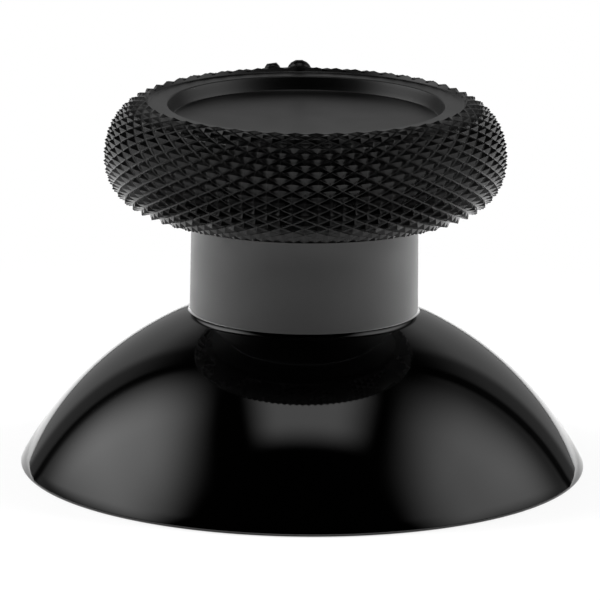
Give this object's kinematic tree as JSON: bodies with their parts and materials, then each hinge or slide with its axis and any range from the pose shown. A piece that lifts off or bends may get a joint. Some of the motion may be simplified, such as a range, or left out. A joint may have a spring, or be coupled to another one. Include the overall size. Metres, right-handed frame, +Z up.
{
  "type": "thumbstick cap",
  "caption": "Cap for a game controller's thumbstick: domed skirt, waisted neck and a dished top in a diamond-knurled ring, with a socket below.",
  "frame": {"origin": "centre of the skirt's rim, on the plane that the cap rests on", "axes": "+Z up along the cap's axis of revolution, from the rim to the thumb's side; the socket's flats face +Y and -Y"},
  "size_m": [0.024, 0.024, 0.0161],
  "materials": {
    "black_plastic": "gloss skirt, satin neck and top, knurled ring"
  },
  "bodies": {
    "root": {"thumbstick_cap": "black_plastic"}
  },
  "joints": []
}
